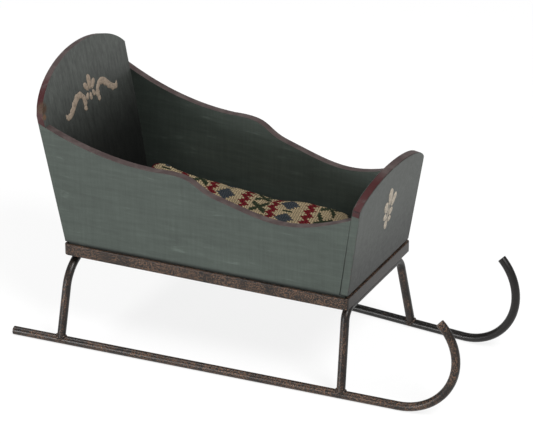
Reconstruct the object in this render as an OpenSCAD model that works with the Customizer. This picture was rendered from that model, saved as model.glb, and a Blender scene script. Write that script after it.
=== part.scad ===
// Toy horse sleigh: a painted wooden box body on a steel tray, two leg hoops and two runners.
// Millimetres, +X forward, +Z up. Origin: on the floor, in the middle of the overall length.

/* [Tray frame] */
// Outer length of the flat-bar frame
tray_len = 176; // [146:1:212]
// Outer width of the frame at its rear end
tray_rear_w = 102; // [92:1:112]
// Outer width of the frame at its front end
tray_front_w = 86; // [80:1:96]
// Height of the frame's underside above the floor
tray_z = 52; // [42:1:66]
// Height of the flat bar
bar_h = 6.8; // [5:0.2:9]
// Thickness of the flat bar
bar_t = 2; // [1.2:0.2:3]
// Outer corner radius of the frame
tray_corner_r = 2.6; // [2.2:0.2:5]

/* [Rod work] */
// Diameter of the round rod of runners and leg hoops
rod_d = 5; // [4:0.25:6]
// Distance between the runners at the middle of the tray
runner_gauge = 110; // [104:1:130]
// Angle by which each runner turns in towards the front
runner_toe = 4.2; // [0:0.2:6]
// Straight length of a runner behind the middle of the tray
runner_rear = 116; // [100:1:140]
// Straight length of a runner ahead of the middle of the tray
runner_front = 121.6; // [101:0.2:145]
// Centreline radius of the curl
curl_r = 32.5; // [27:0.1:39]
// Angle through which the curl turns
curl_angle = 136; // [100:1:160]
// Distance of the hoops' top rods from the ends of the tray, centre to outer face
hoop_inset = 3.9; // [2.6:0.1:6]
// Width of the rear hoop between its upper corners, on the rod's centreline
rear_hoop_w = 102; // [84:1:106]
// Width of the front hoop between its upper corners, on the rod's centreline
front_hoop_w = 73; // [60:1:86]
// Bend radius of the rear hoop's corners
rear_bend_r = 20; // [8:1:24]
// Bend radius of the front hoop's corners
front_bend_r = 8.6; // [4:0.2:14]
// How far the rear hoop's feet stand out behind its top
rear_rake = 1.4; // [0:0.2:6]
// How far the front hoop's feet stand out ahead of its top
front_rake = 3.2; // [0:0.2:6]

/* [Body] */
// Height of the shadow gap between the tray and the walls
wall_gap = 1.2; // [0.6:0.2:3]
// How far the side walls stand inside the tray's outer faces
wall_inset = 1.6; // [1:0.2:2.6]
// How far the end walls stand inside the tray's outer faces
end_inset = 0.5; // [0.4:0.1:1.6]
// Thickness of the side panels
side_t = 5; // [4:0.2:6]
// Thickness of the front panel
front_t = 5; // [4:0.2:6]
// Thickness of the back panel
back_t = 4; // [3.2:0.2:5]
// Backward lean of the back panel
back_lean = 10.6; // [0:0.2:16]
// Forward lean of the front panel
front_lean = 8.2; // [0:0.2:14]
// Outward lean of the side panels
side_flare = 1.8; // [0:0.2:4]

/* [Back panel arch] */
// Height of the arch's crown above the wall bottoms, along Z
back_top = 102; // [90:1:122]
// Drop of the arch from its crown to its ends
back_arch_h = 30.5; // [18:0.5:36]
// Full width of the arch's ellipse
back_arch_w = 105.6; // [105:0.2:116]
// Width cut off the left shoulder, from the outer face of the side panel
shoulder_cut = 6; // [0:0.5:10]

/* [Front panel arch] */
// Height of the arch's crown above the wall bottoms, along Z
front_top = 63.8; // [56:0.2:76]
// Drop of the arch from its crown to its ends
front_arch_h = 15; // [8:0.5:18]
// Full width of the arch's ellipse
front_arch_w = 90; // [90:1:100]
// How far the arch's ears stand past the side panels
front_ear = 0.7; // [0:0.1:1.5]

/* [Side panel sweep] */
// Height of the top edge at the back panel
sweep_rear_h = 71.9; // [64:0.1:76]
// Height of the level waist behind the middle
sweep_waist_h = 54.6; // [48:0.1:60]
// Height of the bend where the front scoop begins
sweep_bend_h = 44.6; // [40:0.1:50]
// Height of the top edge at the front panel
sweep_front_h = 49.8; // [42:0.1:52]
// Distance of the waist behind the middle of the tray
sweep_waist_x = 28; // [22:1:36]
// Distance of the bend ahead of the middle of the tray
sweep_bend_x = 8.2; // [4:0.1:14]

/* [Cushion] */
// Thickness of the cushion
cushion_t = 12; // [8:0.5:18]
// Distance of the cushion's front end ahead of the middle of the tray
cushion_front_x = 54; // [40:1:58]
// Corner radius of the cushion
cushion_corner_r = 6; // [3:1:12]

/* [Hidden] */
$fn = 64;

weld_gap = 0.1;                 // rod to rod and rod to tray, filled by the weld
bend_thinning = 0.02;           // loss of radius where a leg hoop is bent
bend_lap = 0.05;                // straight rod over the end of a bend
joint_gap = 0.05;               // glue line between boards
base_gap = 0.3;                 // base board to tray
cushion_gap = 0.6;              // cushion to walls
cushion_lift = 0.3;             // cushion to base board
over = 30;                      // overshoot of blanks and cutters
arch_steps = 48;                // straight pieces in an arch
curve_steps = 16;               // straight pieces in a curve of the side panels
corner_steps = 6;               // straight pieces in a small corner

rod_r = rod_d / 2;
tray_half = tray_len / 2;
rim_z = tray_z + bar_h;
body_z = rim_z + wall_gap;
body_half = tray_half - end_inset;
taper = (tray_rear_w - tray_front_w) / (2 * tray_len);
side_toe = atan(taper);
rear_reach = runner_rear * cos(runner_toe) + rod_r * sin(runner_toe);
front_reach = (runner_front + curl_r) * cos(runner_toe) + rod_r;
tray_x = (rear_reach - front_reach) / 2;
hoop_x = tray_half - hoop_inset;
hoop_z = tray_z - weld_gap - rod_r;
back_height = back_top / cos(back_lean);
front_height = front_top / cos(front_lean);

paint = "darkslategray";
iron = "dimgray";
knit = "antiquewhite";

// Half width of the tray's outer faces at x
function tray_half_w(x) = (tray_rear_w + tray_front_w) / 4 - taper * x;

// Half width of the side panels' outer faces at x and at a height above the wall bottoms
function wall_half_w(x, h = 0) = tray_half_w(x) - wall_inset + h * tan(side_flare);

// Half width between the inner faces of the side panels, at the wall bottoms
function room_half_w(x) = wall_half_w(x) - side_t / (cos(side_toe) * cos(side_flare));

// Half distance between the runners' centrelines at x
function gauge_half(x) = runner_gauge / 2 - x * tan(runner_toe);

// Point at share t of the curve with end points a and d and handles b and c
function curve_point(a, b, c, d, t) =
    pow(1 - t, 3) * a + 3 * t * pow(1 - t, 2) * b + 3 * t * t * (1 - t) * c + pow(t, 3) * d;

// Points of the curve, without its first one
function curve(a, b, c, d) =
    [for (i = [1 : curve_steps]) curve_point(a, b, c, d, i / curve_steps)];

// Point a carried on by a distance in x, along the line that comes from b
function carried_on(a, b, dx) = a + dx * (a - b) / abs(a[0] - b[0]);

// Ellipse of an arch: height at y, for a crown height, a drop and a full width
function arch_height(y, crown, drop, width) =
    crown - drop * (1 - sqrt(max(0, 1 - pow(2 * y / width, 2))));

// Points of an arch between two y values, from the first to the second
function arch(y_from, y_to, crown, drop, width) =
    [for (i = [0 : arch_steps])
        let (y = y_from + (y_to - y_from) * i / arch_steps)
        [y, arch_height(y, crown, drop, width)]];

// Tapered outline, symmetric about X, with round corners of radius r
function tapered_outline(x_rear, half_rear, x_front, half_front, r) =
    let (lean = atan((half_rear - half_front) / (x_front - x_rear)),
         front_in = r / tan((90 + lean) / 2),
         rear_in = r / tan((90 - lean) / 2),
         front = [x_front - r, half_front - front_in],
         rear = [x_rear + r, half_rear - rear_in])
    concat([for (i = [0 : corner_steps]) front + r * [sin(90 - i * (90 - lean) / corner_steps),
                                                      cos(90 - i * (90 - lean) / corner_steps)]],
           [for (i = [0 : corner_steps]) rear + r * [sin(lean - i * (90 + lean) / corner_steps),
                                                     cos(lean - i * (90 + lean) / corner_steps)]],
           [for (i = [corner_steps : -1 : 0]) [rear[0], -rear[1]]
                + r * [sin(lean - i * (90 + lean) / corner_steps),
                       -cos(lean - i * (90 + lean) / corner_steps)]],
           [for (i = [corner_steps : -1 : 0]) [front[0], -front[1]]
                + r * [sin(90 - i * (90 - lean) / corner_steps),
                       -cos(90 - i * (90 - lean) / corner_steps)]]);

// ---- steel work ----

module tray_frame() {
    color(iron) translate([tray_x, 0, tray_z]) difference() {
        linear_extrude(bar_h)
            polygon(tapered_outline(-tray_half, tray_half_w(-tray_half),
                                    tray_half, tray_half_w(tray_half), tray_corner_r));
        translate([0, 0, -1]) linear_extrude(bar_h + 2)
            polygon(tapered_outline(bar_t - tray_half, tray_half_w(bar_t - tray_half) - bar_t,
                                    tray_half - bar_t, tray_half_w(tray_half - bar_t) - bar_t,
                                    tray_corner_r - bar_t));
    }
}

// Straight part of a runner as a cutter for the legs' feet
module runner_cutter(side) {
    translate([tray_x, side * runner_gauge / 2, rod_r]) rotate([0, 0, -side * runner_toe])
        rotate([0, 90, 0]) cylinder(h = 2 * runner_rear, r = rod_r + weld_gap, center = true);
}

// One hoop: a level top rod, two round bends and two splayed legs down to the runners
module leg_hoop(top_x, foot_x, top_w, bend_r) {
    foot_half = gauge_half(foot_x);
    rise = hoop_z - rod_r;
    tilt = atan((top_x - foot_x) / rise);
    height = rise / cos(tilt);
    splay = atan((foot_half - top_w / 2) / height);
    bend_in = bend_r * tan((90 - splay) / 2);
    leg_len = height / cos(splay) - bend_in;
    color(iron) difference() {
        translate([tray_x + top_x, 0, hoop_z]) rotate([0, tilt, 0]) {
            rotate([90, 0, 0])
                cylinder(h = top_w - 2 * bend_in + 2 * bend_lap, r = rod_r, center = true);
            for (side = [0, 180]) rotate([0, 0, side])
                translate([0, top_w / 2 - bend_in, -bend_r]) rotate([90, 0, 90]) {
                    rotate([0, 0, splay]) rotate_extrude(angle = 90 - splay)
                        translate([bend_r, 0]) circle(rod_r - bend_thinning);
                    rotate([0, 0, splay]) translate([bend_r, bend_lap, 0]) rotate([90, 0, 0])
                        cylinder(h = leg_len + bend_lap, r = rod_r);
                }
        }
        for (side = [-1, 1]) runner_cutter(side);
    }
}

module rear_leg_hoop() {
    leg_hoop(-hoop_x, -hoop_x - rear_rake, rear_hoop_w, rear_bend_r);
}

module front_leg_hoop() {
    leg_hoop(hoop_x, hoop_x + front_rake, front_hoop_w, front_bend_r);
}

// One runner: a straight rod that curls up and back at the front, with plain cut ends
module runner(side) {
    color(iron) translate([tray_x, side * runner_gauge / 2, rod_r])
        rotate([0, 0, -side * runner_toe]) {
            translate([-runner_rear, 0, 0]) rotate([0, 90, 0])
                cylinder(h = runner_rear + runner_front, r = rod_r);
            translate([runner_front, 0, curl_r]) rotate([90, 0, 0]) rotate([0, 0, -90])
                rotate_extrude(angle = curl_angle) translate([curl_r, 0]) circle(rod_r);
        }
}

module runner_left() {
    runner(1);
}

module runner_right() {
    runner(-1);
}

// ---- wooden body ----

// Board that drops into the tray, rests on the hoops and carries the walls
module base_board() {
    rear = bar_t + base_gap - tray_half;
    front = tray_half - bar_t - base_gap;
    color(paint) translate([tray_x, 0, tray_z]) linear_extrude(body_z - tray_z)
        polygon(tapered_outline(rear, tray_half_w(rear) - bar_t - base_gap,
                                front, tray_half_w(front) - bar_t - base_gap,
                                tray_corner_r - bar_t));
}

// Everything behind the outer face of the back panel, or of a plane a distance ahead of it
module behind_back(ahead = 0) {
    translate([tray_x - body_half, 0, body_z]) rotate([0, -back_lean, 0])
        translate([ahead - 2 * over, -tray_rear_w, -over])
            cube([2 * over, 2 * tray_rear_w, back_height + 2 * over]);
}

// Everything ahead of the inner face of the front panel
module ahead_of_front() {
    translate([tray_x + body_half, 0, body_z]) rotate([0, front_lean, 0])
        translate([-front_t - joint_gap, -tray_rear_w, -over])
            cube([2 * over, 2 * tray_rear_w, front_height + 2 * over]);
}

module below_walls() {
    translate([tray_x - tray_len, -tray_rear_w, body_z - over])
        cube([2 * tray_len, 2 * tray_rear_w, over]);
}

// Outline of a side panel, carried on past both end panels, with its top raised by grow
function side_outline(grow = 0) =
    let (lift = [0, grow],
         rear = [-body_half - sweep_rear_h * tan(back_lean), sweep_rear_h],
         waist = [-sweep_waist_x, sweep_waist_h],
         bend = [sweep_bend_x, sweep_bend_h],
         front = [body_half + sweep_front_h * tan(front_lean), sweep_front_h],
         rear_a = [rear[0] + (waist[0] - rear[0]) / 3, rear[1] + (waist[1] - rear[1]) * 2 / 3],
         rear_b = [rear[0] + (waist[0] - rear[0]) * 2 / 3, waist[1]],
         crest = waist + [26, 1.7],
         step = bend + [-16, 4.3],
         scoop_a = bend + [33, -8.9],
         scoop_b = front - [43, 20])
    concat([[carried_on(rear, rear_a, over)[0], -over], carried_on(rear, rear_a, over) + lift,
            rear + lift],
           [for (p = curve(rear, rear_a, rear_b, waist)) p + lift],
           [for (p = curve(waist, crest, step, bend)) p + lift],
           [for (p = curve(bend, scoop_a, scoop_b, front)) p + lift],
           [carried_on(front, scoop_b, over) + lift, [front[0] + over, -over]]);

// Left side panel before its ends and bottom are cut
module side_blank(grow = 0) {
    translate([tray_x, tray_half_w(0) - wall_inset, body_z])
        rotate([0, 0, -side_toe]) rotate([-side_flare, 0, 0])
            translate([0, grow, 0]) rotate([90, 0, 0])
                linear_extrude(side_t + 2 * grow) polygon(side_outline(grow));
}

module side_panel_left() {
    color(paint) difference() {
        side_blank();
        behind_back();
        ahead_of_front();
        below_walls();
    }
}

module side_panel_right() {
    mirror([0, 1, 0]) side_panel_left();
}

// Board between the side panels, with its right ear over the right panel's rear end
module back_panel() {
    right = -wall_half_w(-body_half - sweep_rear_h * tan(back_lean), sweep_rear_h);
    left = -right - shoulder_cut;
    color(paint) difference() {
        translate([tray_x - body_half, 0, body_z]) rotate([0, -back_lean, 0]) rotate([90, 0, 90])
            linear_extrude(back_t)
                polygon(concat([[right, -over], [left, -over]],
                               arch(left, right, back_height, back_arch_h, back_arch_w)));
        side_blank(joint_gap);
        mirror([0, 1, 0]) side_blank(joint_gap);
        beside_walls();
        below_walls();
    }
}

// Everything outside the side panels' outer faces
module beside_walls() {
    for (side = [0, 1]) mirror([0, side, 0])
        translate([tray_x, tray_half_w(0) - wall_inset, body_z])
            rotate([0, 0, -side_toe]) rotate([-side_flare, 0, 0])
                translate([-tray_len, 0, -over]) cube([2 * tray_len, over, back_height + 2 * over]);
}

// Board that laps over the front ends of both side panels
module front_panel() {
    foot = wall_half_w(body_half);
    ear = wall_half_w(body_half + sweep_front_h * tan(front_lean), sweep_front_h) + front_ear;
    color(paint) difference() {
        translate([tray_x + body_half, 0, body_z]) rotate([0, front_lean, 0])
            translate([-front_t, 0, 0]) rotate([90, 0, 90]) linear_extrude(front_t)
                polygon(concat([[ear, sweep_front_h / cos(front_lean)], [foot, 0], [foot, -over],
                                [-foot, -over], [-foot, 0],
                                [-ear, sweep_front_h / cos(front_lean)]],
                               arch(-ear, ear, front_height, front_arch_h, front_arch_w)));
        below_walls();
    }
}

// ---- soft part ----

module cushion() {
    rear = cushion_gap + back_t - body_half;
    color(knit) translate([tray_x, 0, body_z + cushion_lift]) linear_extrude(cushion_t)
        polygon(tapered_outline(rear, room_half_w(rear) - cushion_gap,
                                cushion_front_x, room_half_w(cushion_front_x) - cushion_gap,
                                cushion_corner_r));
}

tray_frame();
rear_leg_hoop();
front_leg_hoop();
runner_left();
runner_right();
base_board();
side_panel_left();
side_panel_right();
back_panel();
front_panel();
cushion();
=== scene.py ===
"""Toy horse sleigh: the finishes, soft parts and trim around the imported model."""

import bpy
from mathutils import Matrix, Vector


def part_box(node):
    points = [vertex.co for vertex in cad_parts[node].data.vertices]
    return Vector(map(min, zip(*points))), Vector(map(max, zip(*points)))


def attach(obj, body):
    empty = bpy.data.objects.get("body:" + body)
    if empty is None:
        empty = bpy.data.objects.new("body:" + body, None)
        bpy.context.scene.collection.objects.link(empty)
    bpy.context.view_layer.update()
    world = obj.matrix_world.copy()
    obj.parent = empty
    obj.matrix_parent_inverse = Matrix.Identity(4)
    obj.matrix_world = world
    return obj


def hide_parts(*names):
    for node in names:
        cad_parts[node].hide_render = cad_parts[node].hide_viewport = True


bl_info = {
    "name": "Toy Horse Sleigh",
    "version": (1, 0, 0),
    "blender": (4, 5, 0),
    "location": "3D View > Sidebar > Sleigh",
    "description": "Worn paint, rubbed steel, a knitted cushion and carved trim for a toy sleigh",
    "category": "Add Mesh",
}

import math

import bmesh
import bpy
from bpy.props import FloatProperty, FloatVectorProperty, IntProperty, PointerProperty
from mathutils import Vector, noise

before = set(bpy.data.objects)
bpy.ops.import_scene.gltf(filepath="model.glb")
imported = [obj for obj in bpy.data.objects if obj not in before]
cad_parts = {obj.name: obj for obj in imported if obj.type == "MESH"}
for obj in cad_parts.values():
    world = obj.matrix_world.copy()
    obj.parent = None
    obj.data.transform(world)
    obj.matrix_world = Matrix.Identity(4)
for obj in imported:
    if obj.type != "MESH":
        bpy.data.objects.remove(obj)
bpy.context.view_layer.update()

MM = 0.001
TRAY_LOW, TRAY_HIGH = (Vector(corner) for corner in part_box("tray_frame"))
TRAY_X = (TRAY_LOW.x + TRAY_HIGH.x) / 2
BOARD_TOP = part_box("base_board")[1][2]
ROD_R = 2.5 * MM
SPLAY = math.radians(4.2)  # each runner's turn away from straight ahead
HALF_GAUGE = 55  # from the middle to a runner, at the tray's mid length, in millimetres
BACK_LEAN, FRONT_LEAN = math.radians(-10.6), math.radians(8.2)
SHARP_EDGE = math.radians(28)
SHADING_EDGE = math.radians(38)


# ---- node materials ----


class Wire:
    """A node output that is worked with like a number, and makes the nodes it needs."""

    def __init__(self, tree, socket):
        self.tree, self.socket = tree, socket

    def maths(self, operation, *others):
        made = self.tree.nodes.new("ShaderNodeMath")
        made.operation = operation
        for socket, value in zip(made.inputs, (self, *others)):
            join(self.tree, value, socket)
        return Wire(self.tree, made.outputs[0])

    def __add__(self, other):
        return self.maths("ADD", other)

    def __sub__(self, other):
        return self.maths("SUBTRACT", other)

    def __mul__(self, other):
        return self.maths("MULTIPLY", other)

    def __lt__(self, other):
        return self.maths("LESS_THAN", other)

    def step(self, low, high):
        """Nothing up to low, all of it from high on, and a smooth rise between."""
        made = self.tree.nodes.new("ShaderNodeMapRange")
        made.interpolation_type = "SMOOTHSTEP"
        join(self.tree, self, made.inputs["Value"])
        made.inputs["From Min"].default_value = low
        made.inputs["From Max"].default_value = high
        return Wire(self.tree, made.outputs["Result"])


def join(tree, value, socket):
    """Puts a value, or the output of another node, on a socket."""
    if isinstance(value, Wire):
        tree.links.new(value.socket, socket)
    elif socket.type == "RGBA" and len(value) == 3:
        socket.default_value = (*value, 1.0)
    else:
        socket.default_value = value


class Finish:
    """One procedural material, with its coordinates in millimetres."""

    def __init__(self, name):
        self.material = bpy.data.materials.new(name)
        self.material.use_nodes = True
        self.tree = self.material.node_tree
        self.shader = self.tree.nodes["Principled BSDF"]
        places = self.tree.nodes.new("ShaderNodeTexCoord")
        self.facing = Wire(self.tree, places.outputs["Normal"])
        self.place = self.stretched(Wire(self.tree, places.outputs["Object"]), (1000, 1000, 1000))
        self.x, _, self.z = self.split(self.place)

    def stretched(self, vector, scale, turn=(0, 0, 0)):
        made = self.tree.nodes.new("ShaderNodeMapping")
        join(self.tree, vector, made.inputs["Vector"])
        made.inputs["Scale"].default_value = scale
        made.inputs["Rotation"].default_value = turn
        return Wire(self.tree, made.outputs[0])

    def split(self, vector):
        made = self.tree.nodes.new("ShaderNodeSeparateXYZ")
        join(self.tree, vector, made.inputs[0])
        return [Wire(self.tree, out) for out in made.outputs]

    def together(self, x, y, z):
        made = self.tree.nodes.new("ShaderNodeCombineXYZ")
        for value, socket in zip((x, y, z), made.inputs):
            join(self.tree, value, socket)
        return Wire(self.tree, made.outputs[0])

    def attribute(self, name, output="Fac"):
        made = self.tree.nodes.new("ShaderNodeAttribute")
        made.attribute_name = name
        return Wire(self.tree, made.outputs[output])

    def grain(self, scale, detail=3.0, rough=0.55, stretch=(1, 1, 1), turn=(0, 0, 0), warp=0.0):
        """Noise with a number of features per millimetre, pulled out along one axis if asked."""
        made = self.tree.nodes.new("ShaderNodeTexNoise")
        join(self.tree, self.stretched(self.place, stretch, turn), made.inputs["Vector"])
        made.inputs["Distortion"].default_value = warp
        made.inputs["Scale"].default_value = scale
        made.inputs["Detail"].default_value = detail
        made.inputs["Roughness"].default_value = rough
        return Wire(self.tree, made.outputs["Fac"])

    def specks(self, scale):
        """Distance to the nearest of many scattered points."""
        made = self.tree.nodes.new("ShaderNodeTexVoronoi")
        join(self.tree, self.place, made.inputs["Vector"])
        made.inputs["Scale"].default_value = scale
        return Wire(self.tree, made.outputs["Distance"])

    def along(self, direction):
        """How far the surface faces a direction, from -1 to 1."""
        made = self.tree.nodes.new("ShaderNodeVectorMath")
        made.operation = "DOT_PRODUCT"
        join(self.tree, self.facing, made.inputs[0])
        made.inputs[1].default_value = direction
        return Wire(self.tree, made.outputs["Value"])

    def near(self, point, inner, outer):
        """One close to a point in millimetres, fading out between two distances from it."""
        made = self.tree.nodes.new("ShaderNodeVectorMath")
        made.operation = "DISTANCE"
        join(self.tree, self.place, made.inputs[0])
        made.inputs[1].default_value = point
        return Wire(self.tree, made.outputs["Value"]).step(outer, inner)

    def mixed(self, share, under, over):
        made = self.tree.nodes.new("ShaderNodeMix")
        made.data_type = "RGBA"
        join(self.tree, share, made.inputs[0])
        join(self.tree, under, made.inputs[6])
        join(self.tree, over, made.inputs[7])
        return Wire(self.tree, made.outputs[2])

    def darkened(self, colour, amount):
        """A colour times a number."""
        made = self.tree.nodes.new("ShaderNodeVectorMath")
        made.operation = "SCALE"
        join(self.tree, colour, made.inputs[0])
        join(self.tree, amount, made.inputs["Scale"])
        return Wire(self.tree, made.outputs[0])

    def relief(self, height, depth):
        """Bump of a depth in millimetres."""
        made = self.tree.nodes.new("ShaderNodeBump")
        made.inputs["Strength"].default_value = 1.0
        made.inputs["Distance"].default_value = depth * MM
        join(self.tree, height, made.inputs["Height"])
        return Wire(self.tree, made.outputs[0])

    def done(self, colour, roughness, normal=None, **fixed):
        join(self.tree, colour, self.shader.inputs["Base Color"])
        join(self.tree, roughness, self.shader.inputs["Roughness"])
        if normal:
            join(self.tree, normal, self.shader.inputs["Normal"])
        for name, value in fixed.items():
            label = name.replace("_", " ").title().replace("Ior", "IOR")
            join(self.tree, value, self.shader.inputs[label])
        return self.material


def dulled(colour, share):
    return tuple(channel * share for channel in colour)


def board_paint(
    name, boards, inward=None, shade=(0.5, 0.9, 60, 150), tint=1.0, stain=None, patches=(), streak=0.1,
):
    """Brushed grey-green paint with painted shade inside and towards the foot, rubbed to dusky mauve on the
    rims.

    The shade is the painted shade inside: the share of the paint kept at a low and at a high place, (deep,
    clear, low, high); a share above 1 is painted light.
    """
    f = Finish(name)
    brush = f.grain(0.6, 5, 0.7, (1, 1, 0.05), warp=0.3)
    sweep = f.grain(0.35, 4, 0.6, (0.12, 1, 1), (0, 0.25, 0), 0.6)
    cloud = f.grain(0.03, 3)
    dark, pale = (dulled(boards.paint, (1 + way * streak) * tint) for way in (-1, 1))
    paint = f.mixed(brush.step(0.25, 0.8), dark, pale)
    paint = f.darkened(paint, cloud * 0.3 + 0.85)
    # Painted shadow of the gap between the body and the tray: every surface below 61.8 mm darkens, down to
    # 0.35 of its colour at 59.6 mm.
    painted_gap_shadow = f.z.step(59.6, 61.8) * 0.65 + 0.35
    paint = f.darkened(paint, (sweep.step(0.3, 0.75) * 0.24 + 0.88) * painted_gap_shadow)
    wisps = sweep.step(0.58, 0.68) * f.grain(0.07, 2).step(0.5, 0.64)
    paint = f.mixed(wisps * 0.4, paint, dulled(boards.paint, 2.0))
    # Painted light and shade on faces that look forward: they take 0.7 of a greyer, lit copy of the paint,
    # and painted shade darkens them towards the bottom, from 1.05 of the colour at 105 mm down to 0.4 at 56
    # mm.
    ahead = f.along((1, 0, 0)).step(0.5, 0.8)
    streaks = brush.step(0.25, 0.8) * (2 * streak) + (1 - streak)
    paint = f.mixed(ahead * 0.7, paint, f.darkened(boards.paint_lit_front[:], streaks))
    paint = f.darkened(paint, f.z.step(56, 105) * (ahead * 0.65) + (ahead * -0.6 + 1.0))
    # Painted shade: faces that look inward keep a share of the paint that rises from deep at the low place to
    # clear at the high place.
    if inward:
        inside = f.along(inward).step(0.5, 0.8)
        deep, clear, low, high = shade
        painted_inside_shade = f.z.step(low, high) * (clear - deep) + deep
        # Painted shade in the rear corner: the side panels' insides keep 0.6 of the paint at the back, rising
        # to all of it 52 mm further forward.
        if inward[1]:
            painted_inside_shade = painted_inside_shade * (f.x.step(TRAY_X / MM - 92, TRAY_X / MM - 40) * 0.4 + 0.6)
        paint = f.mixed(inside, paint, f.darkened(paint, painted_inside_shade))
    rim, arris = f.attribute("rim"), f.attribute("arris")
    rubbed = f.grain(0.16, 4, 0.6)
    rim_colour = f.mixed(rubbed.step(0.38, 0.68), boards.rim, boards.rim_bare)
    if stain:
        patch, inner, outer = stain
        rim_colour = f.mixed(f.near(patch, inner, outer) * rubbed.step(0.3, 0.46), rim_colour, boards.rim_red)
    lip = arris * f.grain(0.3, 3).step(0.36, 0.5)
    rim_colour = f.mixed(lip * 0.95, rim_colour, dulled(boards.rim_red, 0.4))
    worn = arris * f.grain(0.4, 4, 0.65).step(0.54, 0.62)
    colour = f.mixed(worn * 0.45, paint, boards.rim_bare)
    colour = f.mixed(rim, colour, rim_colour)
    for spot, inner, outer, patch_colour in patches:
        ragged = f.near(spot, inner, outer) * f.grain(0.9, 3).step(0.3, 0.5)
        colour = f.mixed(ragged, colour, patch_colour)
    height = brush * 0.4 + f.grain(2.4, 3) * 0.3 + rubbed * rim + sweep * 0.5
    return f.done(colour, f.grain(0.4, 3) * 0.2 + 0.42, f.relief(height, 0.05), specular_ior_level=0.26)


def rubbed_steel(name, steel, rubbed):
    """Near-black lacquer on steel, speckled bronze where hands and floors have rubbed it, with painted shade
    on faces that look forward, which keep 0.15 of the bronze.
    """
    f = Finish(name)
    cloud = f.grain(0.07, 3).step(0.6 - 0.35 * rubbed, 0.75 - 0.2 * rubbed)
    speck = f.grain(1.2, 4, 0.8).step(0.49, 0.58)
    fine = f.specks(1.2).step(0.36, 0.16)
    # Painted shade: faces that look forward keep only 0.15 of the bronze and copper, so the tray's front face
    # stays dark.
    forward_shade = f.along((1, 0, 0)).step(0.6, 0.9) * -0.85 + 1.0
    wear = cloud * speck * forward_shade
    colour = f.mixed(wear, steel.lacquer, steel.bronze)
    colour = f.mixed(fine * (cloud * 0.6 + 0.3 * rubbed) * forward_shade, colour, steel.copper)
    rough = wear * 0.08 + f.grain(0.8, 3) * 0.1 + 0.32
    height = f.grain(0.9, 3, 0.6) * 0.6 - wear * 0.5
    return f.done(colour, rough, f.relief(height, 0.03), metallic=wear * 0.5, specular_ior_level=0.28)


def bead_metal(name, steel):
    """The same lacquer over the ripples of a weld."""
    f = Finish(name)
    colour = f.mixed(f.grain(1.4, 3).step(0.45, 0.62), steel.lacquer, dulled(steel.bronze, 0.8))
    return f.done(colour, f.grain(2.0, 3) * 0.25 + 0.35, f.relief(f.grain(1.6, 3), 0.2), metallic=0.5)


def knitted_yarn(name, cushion):
    """Stocking stitch in four colours, in bands of zigzags, diamonds and crosses."""
    f = Finish(name)
    rows, wales, _ = f.split(f.attribute("stitch", "Vector"))
    arm = (wales.maths("FRACT") * 2.0 - 1.0).maths("ABSOLUTE")
    slanted = rows + arm * 0.75
    row, wale = slanted.maths("FLOOR"), wales.maths("FLOOR")
    band = (row + 25.0).maths("FLOORED_MODULO", 28.0) - 25.0

    def repeat(columns, shift=0.0):
        return (wale + shift).maths("PINGPONG", columns)

    def stripe(centre, wave, half):
        return (band - centre - wave).maths("ABSOLUTE") < half

    wide = stripe(0.0, repeat(2.0) - 1.0, 1.9)
    thin = stripe(-15.0, repeat(2.0, 1.0) - 1.0, 1.15) * (row < 9.0)
    crest = (band + 8.5).maths("ABSOLUTE") + repeat(5.0) < 3.6
    bud = (band + 8.5).maths("ABSOLUTE") + repeat(5.0, 5.0) * 1.5 < 1.8
    leaf = ((band + 21.0).maths("ABSOLUTE") - repeat(5.0, 4.0)).maths("ABSOLUTE") < 1.1
    leaf = leaf * ((band + 21.0).maths("ABSOLUTE") < 3.4)

    yarn = f.mixed(crest, cushion.cream, cushion.blue)
    yarn = f.mixed(bud, yarn, cushion.green)
    yarn = f.mixed(leaf, yarn, cushion.green)
    yarn = f.mixed(wide.maths("MAXIMUM", thin), yarn, cushion.red)
    lobe = (slanted.maths("FRACT") * math.pi).maths("SINE")
    strand = (arm * math.pi).maths("SINE")
    loft = lobe.maths("POWER", 0.6) * (strand * 0.75 + 0.25)
    fibre = f.grain(5.0, 3, 0.7)
    # Painted shade and light on the stitches: the yarn falls to 0.1 of its colour in the gaps between lobes
    # and strands and rises to 1.45 on their crowns, times a fibre mottle.
    yarn = f.darkened(yarn, (loft.maths("POWER", 1.6) * 1.35 + 0.1) * (fibre * 0.5 + 0.8))
    yarn = f.darkened(yarn, f.grain(0.12, 2) * 0.4 + 0.8)
    height = loft + fibre * 0.35
    return f.done(yarn, 0.92, f.relief(height, 0.3), specular_ior_level=0.08)


def carved_trim(name, base, worn):
    """Thin paint on carved trim, with a worn tone and a darker mottle laid at random."""
    f = Finish(name)
    colour = f.mixed(f.grain(0.7, 4, 0.65).step(0.42, 0.62), base, worn)
    colour = f.darkened(colour, f.grain(2.5, 3) * 0.3 + 0.84)
    return f.done(colour, 0.62, f.relief(f.grain(1.8, 3), 0.05), specular_ior_level=0.2)


# ---- shapes ----


def new_piece(name, mesh, material):
    """An object that rides on the sleigh and takes the finish it is given."""
    piece = bpy.data.objects.new(name, mesh)
    bpy.context.scene.collection.objects.link(piece)
    mesh.materials.clear()
    mesh.materials.append(material)
    for face in mesh.polygons:
        face.use_smooth = True
    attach(piece, "root")
    return piece


def mesh_of(bm, name):
    bmesh.ops.recalc_face_normals(bm, faces=bm.faces)
    mesh = bpy.data.meshes.new(name)
    bm.to_mesh(mesh)
    bm.free()
    return mesh


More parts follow.
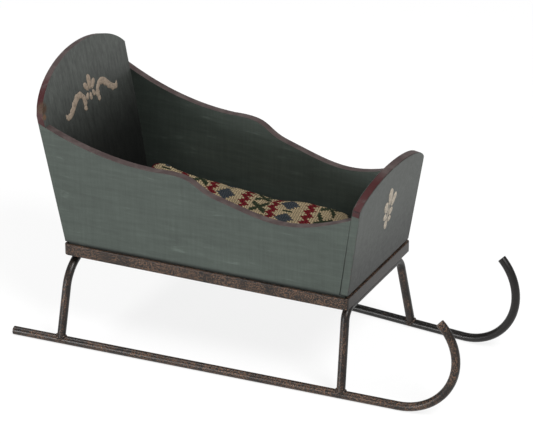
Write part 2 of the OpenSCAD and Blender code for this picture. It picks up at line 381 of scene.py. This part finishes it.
def softened(node, name, material, width, is_rim=None):
    """A CAD board or bar again, with its sharp edges rounded over."""
    bm = bmesh.new()
    bm.from_mesh(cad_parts[node].data)
    arris = bm.faces.layers.float.new("arris")
    rim = bm.faces.layers.float.new("rim")
    bmesh.ops.remove_doubles(bm, verts=bm.verts, dist=2e-6)
    bmesh.ops.dissolve_limit(bm, angle_limit=math.radians(0.6), verts=bm.verts, edges=bm.edges)
    sharp = [e for e in bm.edges if len(e.link_faces) == 2 and e.calc_face_angle() > SHARP_EDGE]
    turned = bmesh.ops.bevel(
        bm, geom=sharp, offset=width, offset_type="OFFSET", segments=3, profile=0.5,
        affect="EDGES", clamp_overlap=True, miter_outer="SHARP",
    )["faces"]
    bm.normal_update()
    for face in turned:
        face[arris] = 1.0
    for face in bm.faces:
        face[rim] = float(bool(is_rim and is_rim(face.normal, face.calc_center_median())))
    bmesh.ops.remove_doubles(bm, verts=bm.verts, dist=5e-6)
    bmesh.ops.dissolve_degenerate(bm, dist=5e-6, edges=bm.edges)
    mesh = bpy.data.meshes.new(name)
    bm.to_mesh(mesh)
    bm.free()
    piece = new_piece(name, mesh, material)
    mesh.set_sharp_from_angle(angle=SHADING_EDGE)
    weighted = piece.modifiers.new("even shading", "WEIGHTED_NORMAL")
    weighted.keep_sharp = True
    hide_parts(node)
    return piece


def tube(bm, path, radii, closed=False, around=10):
    """A tube along points, with its own radius at each of them."""
    count = len(path)
    rings = []
    side = Vector((0.31, 0.17, 0.93))
    for i, point in enumerate(path):
        ahead = path[(i + 1) % count] if closed or i < count - 1 else path[i]
        behind = path[i - 1] if closed or i > 0 else path[i]
        run = (ahead - behind).normalized()
        across = run.cross(side).normalized()
        up = across.cross(run)
        rings.append([
            bm.verts.new(point + radii[i] * (math.cos(t) * across + math.sin(t) * up))
            for t in (math.tau * k / around for k in range(around))
        ])
    last = count if closed else count - 1
    for i in range(last):
        one, two = rings[i], rings[(i + 1) % count]
        for k in range(around):
            bm.faces.new((one[k], one[(k + 1) % around], two[(k + 1) % around], two[k]))
    if not closed:
        for ring, point in ((rings[0], path[0]), (rings[-1], path[-1])):
            middle = bm.verts.new(point)
            for k in range(around):
                bm.faces.new((ring[k], ring[(k + 1) % around], middle))


def carve(bm, place, spine, widths, height, notch=0.0):
    """A rounded ridge that stands on a panel, along a line of points in the panel's plane."""
    across_steps, along_steps, fine = 8, 5, []
    for i in range(len(spine) - 1):
        before, start = spine[max(i - 1, 0)], spine[i]
        end, after = spine[i + 1], spine[min(i + 2, len(spine) - 1)]
        for k in range(along_steps):
            t = k / along_steps
            point = 0.5 * (
                2 * start + (end - before) * t + (2 * before - 5 * start + 4 * end - after) * t * t
                + (3 * start - before - 3 * end + after) * t ** 3
            )
            fine.append((point, widths[i] + (widths[i + 1] - widths[i]) * t))
    fine.append((spine[-1], widths[-1]))
    rows = []
    for i, (point, width) in enumerate(fine):
        run = fine[min(i + 1, len(fine) - 1)][0] - fine[max(i - 1, 0)][0]
        side = Vector((-run.y, run.x)).normalized()
        ends = math.sin(math.pi * min(1.0, (i + 0.25) / 4, (len(fine) - i - 0.75) / 4) / 2)
        lobes = 1 + notch * math.sin(i * 1.3)
        row = []
        for k in range(across_steps + 1):
            turn = math.pi * k / across_steps
            reach = width / 2 * ends * (lobes if k > across_steps / 2 else 1.0)
            groove = 1 - 0.22 * math.exp(-((turn - math.pi / 2) / 0.25) ** 2)
            lift = height * ends * math.sin(turn) * groove
            row.append(bm.verts.new(place(point + side * reach * math.cos(turn), lift)))
        rows.append(row)
    for one, two in zip(rows, rows[1:]):
        for k in range(across_steps):
            bm.faces.new((one[k], one[k + 1], two[k + 1], two[k]))
        bm.faces.new((one[across_steps], one[0], two[0], two[across_steps]))
    bm.faces.new(rows[0])
    bm.faces.new(rows[-1])


def on_panel(origin, lean):
    """Turns points in a leaning panel's plane, in millimetres, into points in space."""
    sunk = 0.15
    up = Vector((math.sin(lean), 0, math.cos(lean)))
    out = Vector((math.cos(lean), 0, -math.sin(lean)))

    def place(point, lift):
        along = Vector((0, point.x, 0)) * MM + up * point.y * MM
        return origin + along + out * (lift - sunk) * MM

    return place


# ---- settings ----


def colour_setting(name, description, default):
    return FloatVectorProperty(
        name=name, description=description, default=default, subtype="COLOR", size=3, min=0, max=1
    )


class BoardSettings(bpy.types.PropertyGroup):
    """Painted boards."""

    rounding: FloatProperty(
        name="Edge rounding", description="How far the boards' edges are rounded over",
        default=0.9 * MM, min=0.2 * MM, max=1.6 * MM, unit="LENGTH",
    )
    paint: colour_setting("Paint", "Grey-green of the boards", (0.0435, 0.0546, 0.0466))
    # Painted light: the greyer copy of the paint that faces looking forward take.
    paint_lit_front: colour_setting(
        "Paint ahead", "Greyer paint of faces that look forward", (0.05, 0.052, 0.049)
    )
    rim: colour_setting("Rim", "Dusky colour of the rims", (0.042, 0.028, 0.027))
    rim_bare: colour_setting("Rubbed rim", "Where the rims are rubbed pale", (0.066, 0.05, 0.047))
    rim_red: colour_setting("Old red", "First coat that shows on the arches", (0.032, 0.0055, 0.006))
    chipped: colour_setting("Chip", "Ground coat that shows in a chip", (0.5, 0.46, 0.41))
    wood: colour_setting("Wood", "Bare wood that shows on the ear", (0.1, 0.055, 0.03))


class SteelSettings(bpy.types.PropertyGroup):
    """Tray, hoops and runners."""

    rounding: FloatProperty(
        name="Bar rounding", description="How far the flat bar's edges are rounded over",
        default=0.45 * MM, min=0.1 * MM, max=0.9 * MM, unit="LENGTH",
    )
    bead: FloatProperty(
        name="Weld bead", description="Radius of the weld beads",
        default=0.8 * MM, min=0.3 * MM, max=1.5 * MM, unit="LENGTH",
    )
    lacquer: colour_setting("Lacquer", "Near-black lacquer", (0.006, 0.0055, 0.005))
    bronze: colour_setting("Bronze", "Colour of the rubbed speckle", (0.1, 0.064, 0.045))
    copper: colour_setting("Copper", "Colour of the finest specks", (0.2, 0.1, 0.055))


class CushionSettings(bpy.types.PropertyGroup):
    """Knitted cushion."""

    crown: FloatProperty(
        name="Crown", description="Furthest that the padding swells",
        default=4.5 * MM, min=1 * MM, max=8 * MM, unit="LENGTH",
    )
    row: FloatProperty(
        name="Row", description="Length of one stitch along the sleigh",
        default=1.5 * MM, min=1 * MM, max=3 * MM, unit="LENGTH",
    )
    wale: FloatProperty(
        name="Wale", description="Width of one column of stitches",
        default=1.7 * MM, min=1 * MM, max=3 * MM, unit="LENGTH",
    )
    steps: IntProperty(
        name="Swelling steps", description="Steps of the cloth's swelling",
        default=20, min=5, max=40,
    )
    cream: colour_setting("Cream", "Ground yarn", (0.27, 0.213, 0.13))
    red: colour_setting("Red", "Yarn of the zigzags", (0.09, 0.006, 0.009))
    blue: colour_setting("Blue", "Yarn of the diamonds", (0.03, 0.036, 0.042))
    green: colour_setting("Green", "Yarn of the crosses", (0.02, 0.027, 0.014))


class TrimSettings(bpy.types.PropertyGroup):
    """Carved trim on the end panels."""

    height: FloatProperty(
        name="Relief", description="How far the carving stands off its panel",
        default=0.7 * MM, min=0.3 * MM, max=2 * MM, unit="LENGTH",
    )
    tan: colour_setting("Tan", "Colour of the back trim", (0.24, 0.19, 0.145))
    cream: colour_setting("Cream", "Colour of the front trim", (0.33, 0.29, 0.235))


class StageSettings(bpy.types.PropertyGroup):
    """Floor, lights and camera."""

    lens: FloatProperty(
        name="Lens", description="Focal length of the camera",
        default=182.24, min=35, max=300, unit="CAMERA",
    )
    distance: FloatProperty(
        name="Distance", description="From the camera to the point it looks at",
        default=1.5485, min=0.5, max=4, unit="LENGTH",
    )
    azimuth: FloatProperty(
        name="Azimuth", description="Turn of the camera round the sleigh",
        default=math.radians(26.532), subtype="ANGLE",
    )
    elevation: FloatProperty(
        name="Elevation", description="Height angle of the camera",
        default=math.radians(25.319), subtype="ANGLE",
    )
    floor: colour_setting("Floor", "Pale studio floor", (0.13, 0.13, 0.13))
    glow: FloatProperty(
        name="Floor glow", description="Light the floor gives off", default=0.84, min=0, max=1
    )


# ---- pieces ----


class SLEIGH_OT_boards(bpy.types.Operator):
    """Round the boards' edges and paint them"""

    bl_idname = "sleigh.boards"
    bl_label = "Painted boards"

    def execute(self, context):
        boards = context.scene.sleigh_boards

        def side_rim(normal, centre):
            return normal.z > 0.45

        def back_rim(normal, centre):
            return abs(normal.x) < 0.6 and normal.z > -0.5 and centre.z > 0.128

        def front_rim(normal, centre):
            return abs(normal.x) < 0.6 and normal.z > -0.5 and centre.z > 0.106

        tray_x = TRAY_X / MM
        for side, inward in (("left", -1), ("right", 1)):
            # Painted shade inside the side panels: 0.7 of the paint at 60 mm, rising to 1.05, painted light,
            # at 130 mm.
            paint = board_paint(f"side paint {side}", boards, (0, inward, 0), (0.7, 1.05, 60, 130))
            softened(f"side_panel_{side}", f"side_board_{side}", paint, boards.rounding, side_rim)
        # Painted shade inside the back panel: 0.13 of the paint up to 94 mm, rising to 1.12, painted light,
        # at 156 mm.
        back = board_paint(
            "back paint", boards, (1, 0, 0), (0.13, 1.12, 94, 156),
            stain=((tray_x - 100, -52, 140), 14, 28),
            # Two patches on the near edge of the back panel's ear: a dark brown one up to 4.6 mm across, and
            # a paler one of bare wood just below it.
            patches=(
                ((tray_x - 98.8, -50, 140.5), 2, 4.6, dulled(boards.wood, 0.45)),
                ((tray_x - 97.6, -50.6, 135.6), 1.2, 2.2, boards.wood),
            ),
            streak=0.34,
        )
        softened("back_panel", "back_board", back, boards.rounding, back_rim)
        # Painted shade inside the front panel: 0.55 of the paint at 60 mm, rising to 0.95 at 130 mm.
        front = board_paint(
            "front paint", boards, (-1, 0, 0), (0.55, 0.95, 60, 130), 1.05,
            ((tray_x + 96, -40, 112), 20, 36),
            [((tray_x + 95.5, -43.3, 115), 0.4, 1.5, boards.chipped)],
        )
        softened("front_panel", "front_board", front, boards.rounding, front_rim)
        # Painted shade on the base board's top: 0.5 of the paint at 60 mm, rising to 0.9 at 150 mm.
        floor_paint = board_paint("floor paint", boards, (0, 0, 1))
        softened("base_board", "floor_board", floor_paint, 0.4 * MM)
        return {"FINISHED"}


class SLEIGH_OT_steel(bpy.types.Operator):
    """Finish the tray, the leg hoops and the runners"""

    bl_idname = "sleigh.steel"
    bl_label = "Rubbed steel"

    def execute(self, context):
        steel = context.scene.sleigh_steel
        bar = rubbed_steel("bar steel", steel, 1.0)
        softened("tray_frame", "tray_bar", bar, steel.rounding)
        # The bronze speckle is real wear, but runner_right, on the camera's side, takes 0.85 of it and
        # runner_left 0.1: the difference is painted light.
        for node, rubbed in (
            ("runner_right", 0.85), ("runner_left", 0.1),
            ("front_leg_hoop", 0.6), ("rear_leg_hoop", 0.6),
        ):
            metal = rubbed_steel(node.replace("_", " ") + " steel", steel, rubbed)
            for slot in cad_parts[node].material_slots:
                slot.material = metal
        return {"FINISHED"}


class SLEIGH_OT_welds(bpy.types.Operator):
    """Lay weld beads where the legs meet the runners and the tray"""

    bl_idname = "sleigh.welds"
    bl_label = "Weld beads"

    def execute(self, context):
        steel = context.scene.sleigh_steel
        metal = bead_metal("weld metal", steel)
        # from mid tray to the leg's top and foot, and from the middle to its top, in millimetres
        legs = {"front": (84.1, 87.3, 36.5), "rear": (-84.1, -85.5, 51.0)}
        for end, (top_x, foot_x, top_y) in legs.items():
            for side, sign in (("left", 1), ("right", -1)):
                foot_y = sign * (HALF_GAUGE - foot_x * math.tan(SPLAY)) * MM
                foot = Vector((TRAY_X + foot_x * MM, foot_y, ROD_R))
                top = Vector((TRAY_X + top_x * MM, sign * top_y * MM, 49.4 * MM))
                rod = Vector((math.cos(SPLAY), -sign * math.sin(SPLAY), 0))
                leg = (top - foot).normalized()
                self.foot_bead(f"foot_weld_{end}_{side}", foot, leg, rod, steel, metal, end)
            self.bar_beads(f"bar_weld_{end}", top_x, top_y, steel, metal)
        return {"FINISHED"}

    def foot_bead(self, name, foot, leg, rod, steel, metal, end):
        across = leg.cross(rod).normalized()
        ahead = across.cross(leg)
        steps, path, radii = 36, [], []
        for k in range(steps):
            turn = math.tau * k / steps
            rim = foot + ROD_R * 1.03 * (math.cos(turn) * ahead + math.sin(turn) * across)
            low, high = 0.0, 8 * MM  # the leg meets the runner somewhere between
            for _ in range(20):
                middle = (low + high) / 2
                point = rim + leg * middle - foot
                apart = (point - rod * point.dot(rod)).length
                low, high = (low, middle) if apart > ROD_R * 1.02 else (middle, high)
            point = rim + leg * high
            wobble = noise.noise(point * 900) * 0.18 * MM
            path.append(point + leg * wobble)
            radii.append(steel.bead * (0.85 + 0.3 * abs(noise.noise(point * 1400))))
        bm = bmesh.new()
        tube(bm, path, radii, closed=True)
        new_piece(name, mesh_of(bm, name), metal)

    def bar_beads(self, name, rod_x, reach, steel, metal):
        bm = bmesh.new()
        outward = math.copysign(1, rod_x)
        for start in (-reach + 12, -5, reach - 22):
            path, radii = [], []
            for k in range(21):
                y = start + k * 0.5
                point = Vector((TRAY_X + (rod_x + outward * 2.05) * MM, y * MM, 51.45 * MM))
                ripple = 0.5 + 0.5 * math.cos(k * 2.1)
                path.append(point + Vector((0, 0, noise.noise(point * 700) * 0.1 * MM)))
                ends = math.sin(math.pi * (k + 0.8) / 21.6) ** 0.4
                radii.append(steel.bead * ends * (0.82 + 0.16 * ripple))
            tube(bm, path, radii)
        new_piece(name, mesh_of(bm, name), metal)


class SLEIGH_OT_cushion(bpy.types.Operator):
    """Swell, knit and lay the cushion"""

    bl_idname = "sleigh.cushion"
    bl_label = "Knitted cushion"

    SCALE = 5.0

    def execute(self, context):
        cushion = context.scene.sleigh_cushion
        low, high = (Vector(corner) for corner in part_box("cushion"))
        pad = self.swollen(context, cushion)
        self.settle(pad.data, low, high)
        smooth = pad.modifiers.new("fine", "SUBSURF")
        smooth.levels = smooth.render_levels = 2
        held = self.applied(context, pad)
        bpy.data.objects.remove(pad)
        self.knit(held, cushion, low, high)
        yarn = knitted_yarn("knitted yarn", cushion)
        piece = new_piece("knitted_cushion", held, yarn)
        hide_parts("cushion")
        return {"FINISHED"}

    def applied(self, context, pad):
        """A pad's mesh with its modifiers applied."""
        return bpy.data.meshes.new_from_object(
            pad.evaluated_get(context.evaluated_depsgraph_get())
        )

    def swollen(self, context, cushion):
        """The pad, blown up as cloth from a slightly smaller shape at a larger scale.

        The cloth gives each point its direction, and the crown is the furthest it may go.
        """
        bm = bmesh.new()
        bm.from_mesh(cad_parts["cushion"].data)
        bmesh.ops.remove_doubles(bm, verts=bm.verts, dist=2e-6)
        middle = sum((v.co for v in bm.verts), Vector()) / len(bm.verts)
        for v in bm.verts:
            v.co = middle + (v.co - middle) * 0.985
            v.co.z = middle.z + (v.co.z - middle.z) * 0.8
            v.co *= self.SCALE
        mesh = mesh_of(bm, "pad")
        pad = bpy.data.objects.new("pad", mesh)
        context.scene.collection.objects.link(pad)
        remesh = pad.modifiers.new("voxels", "REMESH")
        remesh.mode = "VOXEL"
        remesh.voxel_size = 3.0 * MM * self.SCALE
        even = self.applied(context, pad)
        pad.modifiers.clear()
        pad.data = even
        start = [v.co.copy() for v in even.vertices]
        cloth = pad.modifiers.new("swell", "CLOTH").settings
        cloth.use_pressure = True
        cloth.uniform_pressure_force = 4.0
        cloth.effector_weights.gravity = 0
        cloth.quality = 5
        for step in range(1, cushion.steps + 1):
            context.scene.frame_set(step)
        blown = self.applied(context, pad)
        pad.modifiers.clear()
        pad.data = blown
        context.scene.frame_set(1)
        limit = cushion.crown * self.SCALE
        for v, before in zip(pad.data.vertices, start):
            move = v.co - before
            if move.length > limit:
                move *= limit / move.length
            v.co = (before + move) / self.SCALE
        return pad

    def settle(self, mesh, low, high):
        """Rests the pad on the board, between the walls, with a soft front roll."""
        floor, rear_half, taper = low.z, 43.1, 5.8
        for v in mesh.vertices:
            t = (v.co.x - low.x) / (high.x - low.x)
            half = (rear_half - taper * max(0.0, min(1.0, t))) * MM
            if abs(v.co.y) > half:
                v.co.y = half * math.tanh(v.co.y / half * 1.25) / math.tanh(1.25)
            v.co.x = min(max(v.co.x, low.x - 0.4 * MM), high.x + 8 * MM)
            up = max(0.0, (v.co.z - floor) / (high.z - floor))
            v.co.x += 9 * MM * max(0.0, t - 0.6) ** 2 / 0.16
            roll = 1.4 * math.exp(-((t - 0.80) / 0.13) ** 2) + 2.6 * math.exp(-((t - 0.1) / 0.25) ** 2)
            wall = 3.4 * (v.co.y / half) ** 2 * (1 - 0.6 * math.exp(-((t - 0.9) / 0.2) ** 2))
            v.co.z += (roll + wall) * up * MM + noise.noise(v.co * 40) * 0.8 * up * MM
            v.co.z = max(v.co.z, floor)

    def knit(self, mesh, cushion, low, high):
        """Numbers the stitches over the pad and raises their two strands."""
        middle = (low + high) / 2
        stitches = mesh.attributes.new("stitch", "FLOAT_VECTOR", "POINT")
        normals = [v.normal.copy() for v in mesh.vertices]
        crown = max(v.co.z for v in mesh.vertices)
        values, moves = [], []
        for v, normal in zip(mesh.vertices, normals):
            drop = crown - v.co.z
            end = normal.x * abs(normal.x)
            side = normal.y * abs(normal.y)
            skewed = v.co.x - high.x + 20 * MM + 0.22 * (v.co.y - 27 * MM)
            u = (skewed + end * drop) / cushion.row
            w = (v.co.y - middle.y + side * drop) / cushion.wale
            values += (u, w, 0.0)
            arm = abs(2 * (w % 1) - 1)
            lobe = math.sin(math.pi * ((u + 0.75 * arm) % 1)) ** 0.6
            loft = lobe * (0.25 + 0.75 * math.sin(math.pi * arm))
            moves.append(normal * (loft - 0.5) * 0.5 * MM)
        stitches.data.foreach_set("vector", values)
        for v, move in zip(mesh.vertices, moves):
            v.co += move
            v.co.z = max(v.co.z, low.z)


class SLEIGH_OT_trim(bpy.types.Operator):
    """Carve a palmette on the back panel and a sprig on the front"""

    bl_idname = "sleigh.trim"
    bl_label = "Carved trim"

    def execute(self, context):
        trim = context.scene.sleigh_trim
        height = trim.height / MM
        inset, back_thickness = 0.5 * MM, 4 * MM
        rear = Vector((TRAY_LOW.x + inset, 0, BOARD_TOP))
        seat = rear + Vector((math.cos(BACK_LEAN), 0, -math.sin(BACK_LEAN))) * back_thickness
        back = on_panel(seat, BACK_LEAN)
        tan = carved_trim("tan trim", trim.tan, dulled(trim.tan, 0.72))
        arm = [Vector(p) for p in (
            (8.4, 66.6), (7.4, 69.6), (8.6, 73.3), (12.4, 75.2), (16.6, 73.6), (20.4, 70.3),
            (24.2, 67.6), (27.6, 67.0), (29.2, 69.8),
        )]
        widths = (3.2, 4.2, 3.2, 4.4, 4.7, 4.3, 4.2, 3.4, 1.2)
        palmette = [((0, 74.2), (0, 84.0), 4.6)]
        for sign in (-1, 1):
            palmette += [
                ((1.6 * sign, 74.2), (5.9 * sign, 79.9), 3.8),
                ((2.5 * sign, 73.6), (4.7 * sign, 69.6), 3.2),
            ]
            palmette.append(((9.6 * sign, 66.4), (6.2 * sign, 66.2), 4.2))
        palmette.append(((0, 73.2), (0, 68.0), 3.0))
        bm = bmesh.new()
        self.leaves(bm, back, palmette, height)
        new_piece("back_trim_palmette", mesh_of(bm, "back_trim_palmette"), tan)
        for side, sign in (("left", 1), ("right", -1)):
            bm = bmesh.new()
            carve(bm, back, [Vector((p.x * sign, p.y)) for p in arm], widths, height, 0.18 * sign)
            name = f"back_trim_scroll_{side}"
            new_piece(name, mesh_of(bm, name), tan)

        nose = Vector((TRAY_HIGH.x - inset, 0, BOARD_TOP))
        front = on_panel(nose, FRONT_LEAN)
        cream = carved_trim("cream trim", trim.cream, dulled(trim.cream, 0.75))
        sprig = [
            ((-0.2, 39.6), (-1.4, 51.2), 5.9), ((2.2, 38.2), (6.9, 46.2), 4.8),
            ((-3.4, 36.0), (-5.8, 43.4), 5.5), ((0.9, 33.4), (4.2, 37.6), 4.8),
            ((-2.8, 31.8), (-5.8, 35.4), 4.2), ((0.6, 29.6), (3.8, 32.2), 3.9),
            ((-1.2, 25.2), (-2.6, 30.9), 4.2),
        ]
        bm = bmesh.new()
        self.leaves(bm, front, sprig, height)
        stalk = [Vector(p) for p in ((-1.6, 28.0), (-0.9, 32.0), (-0.6, 36.0), (0.2, 40.5))]
        carve(bm, front, stalk, (0.9, 1.2, 1.2, 1.0), height * 0.5)
        new_piece("front_trim_sprig", mesh_of(bm, "front_trim_sprig"), cream)
        return {"FINISHED"}

    def leaves(self, bm, place, shapes, height):
        for root, tip, width in shapes:
            root, tip = Vector(root), Vector(tip)
            bow = Vector((tip.y - root.y, root.x - tip.x)) * 0.05
            spine = [root, root.lerp(tip, 0.35) + bow, root.lerp(tip, 0.7) + bow, tip]
            carve(bm, place, spine, (0.45 * width, 0.85 * width, width, 0.55 * width), height)


class SLEIGH_OT_stage(bpy.types.Operator):
    """Set up the floor, the lights and the camera"""

    bl_idname = "sleigh.stage"
    bl_label = "Studio stage"

    def execute(self, context):
        stage = context.scene.sleigh_stage
        scene = context.scene
        bm = bmesh.new()
        bmesh.ops.create_grid(bm, x_segments=24, y_segments=24, size=4.0)
        mesh = mesh_of(bm, "studio_floor")
        floor = bpy.data.objects.new("studio_floor", mesh)
        scene.collection.objects.link(floor)
        f = Finish("studio floor")
        tone = f.grain(0.01, 2) * 0.03 + 0.985
        mesh.materials.append(f.done(
            f.darkened(stage.floor[:], tone), 0.85,
            emission_color=(1, 1, 1, 1), emission_strength=stage.glow,
        ))

        world = bpy.data.worlds.new("studio")
        world.use_nodes = True
        sky = world.node_tree.nodes["Background"].inputs
        sky["Color"].default_value = (1.0, 1.0, 1.0, 1.0)
        sky["Strength"].default_value = 0.32
        scene.world = world
        scene.view_settings.view_transform = "Standard"

        self.lamp(scene, "key", (0.95, -0.55, 1.35), 0.7, 32)
        self.lamp(scene, "overhead", (-0.55, -0.1, 1.2), 0.4, 6)
        self.lamp(scene, "low fill", (-0.64, -1.4, 0.22), 0.4, 14)

        camera = bpy.data.objects.new("camera", bpy.data.cameras.new("camera"))
        scene.collection.objects.link(camera)
        camera.data.lens = stage.lens
        camera.data.sensor_width = 36
        camera.data.clip_start = 0.01
        target = Vector((13.56 * MM + TRAY_X, 6.61 * MM, 69.71 * MM))
        level = math.cos(stage.elevation)
        back = Vector((
            math.sin(stage.azimuth) * level,
            -math.cos(stage.azimuth) * level,
            math.sin(stage.elevation),
        ))
        camera.location = target + back * stage.distance
        camera.rotation_euler = back.to_track_quat("Z", "Y").to_euler()
        scene.camera = camera
        return {"FINISHED"}

    def lamp(self, scene, name, place, size, power):
        data = bpy.data.lights.new(name, "AREA")
        data.shape = "DISK"
        data.size = size
        data.energy = power
        lamp = bpy.data.objects.new(name, data)
        scene.collection.objects.link(lamp)
        lamp.location = place
        aim = Vector(place) - Vector((0, 0, 0.07))
        lamp.rotation_euler = aim.to_track_quat("Z", "Y").to_euler()


class SLEIGH_PT_pieces(bpy.types.Panel):
    """Buttons and settings for every piece of the sleigh"""

    bl_idname = "SLEIGH_PT_pieces"
    bl_label = "Toy sleigh"
    bl_space_type = "VIEW_3D"
    bl_region_type = "UI"
    bl_category = "Sleigh"

    def draw(self, context):
        for operator in OPERATORS:
            self.layout.operator(operator.bl_idname)
        for name, group in SETTINGS.items():
            box = self.layout.box()
            for prop in group.__annotations__:
                box.prop(getattr(context.scene, name), prop)


OPERATORS = (
    SLEIGH_OT_boards, SLEIGH_OT_steel, SLEIGH_OT_welds,
    SLEIGH_OT_cushion, SLEIGH_OT_trim, SLEIGH_OT_stage,
)
SETTINGS = {
    "sleigh_boards": BoardSettings,
    "sleigh_steel": SteelSettings,
    "sleigh_cushion": CushionSettings,
    "sleigh_trim": TrimSettings,
    "sleigh_stage": StageSettings,
}
CLASSES = (*SETTINGS.values(), *OPERATORS, SLEIGH_PT_pieces)


def register():
    for kind in CLASSES:
        bpy.utils.register_class(kind)
    for name, group in SETTINGS.items():
        setattr(bpy.types.Scene, name, PointerProperty(type=group))


def unregister():
    for name in SETTINGS:
        delattr(bpy.types.Scene, name)
    for kind in reversed(CLASSES):
        bpy.utils.unregister_class(kind)


def main():
    register()
    bpy.ops.sleigh.boards()
    bpy.ops.sleigh.steel()
    bpy.ops.sleigh.welds()
    bpy.ops.sleigh.cushion()
    bpy.ops.sleigh.trim()
    bpy.ops.sleigh.stage()


if __name__ == "__main__":
    main()
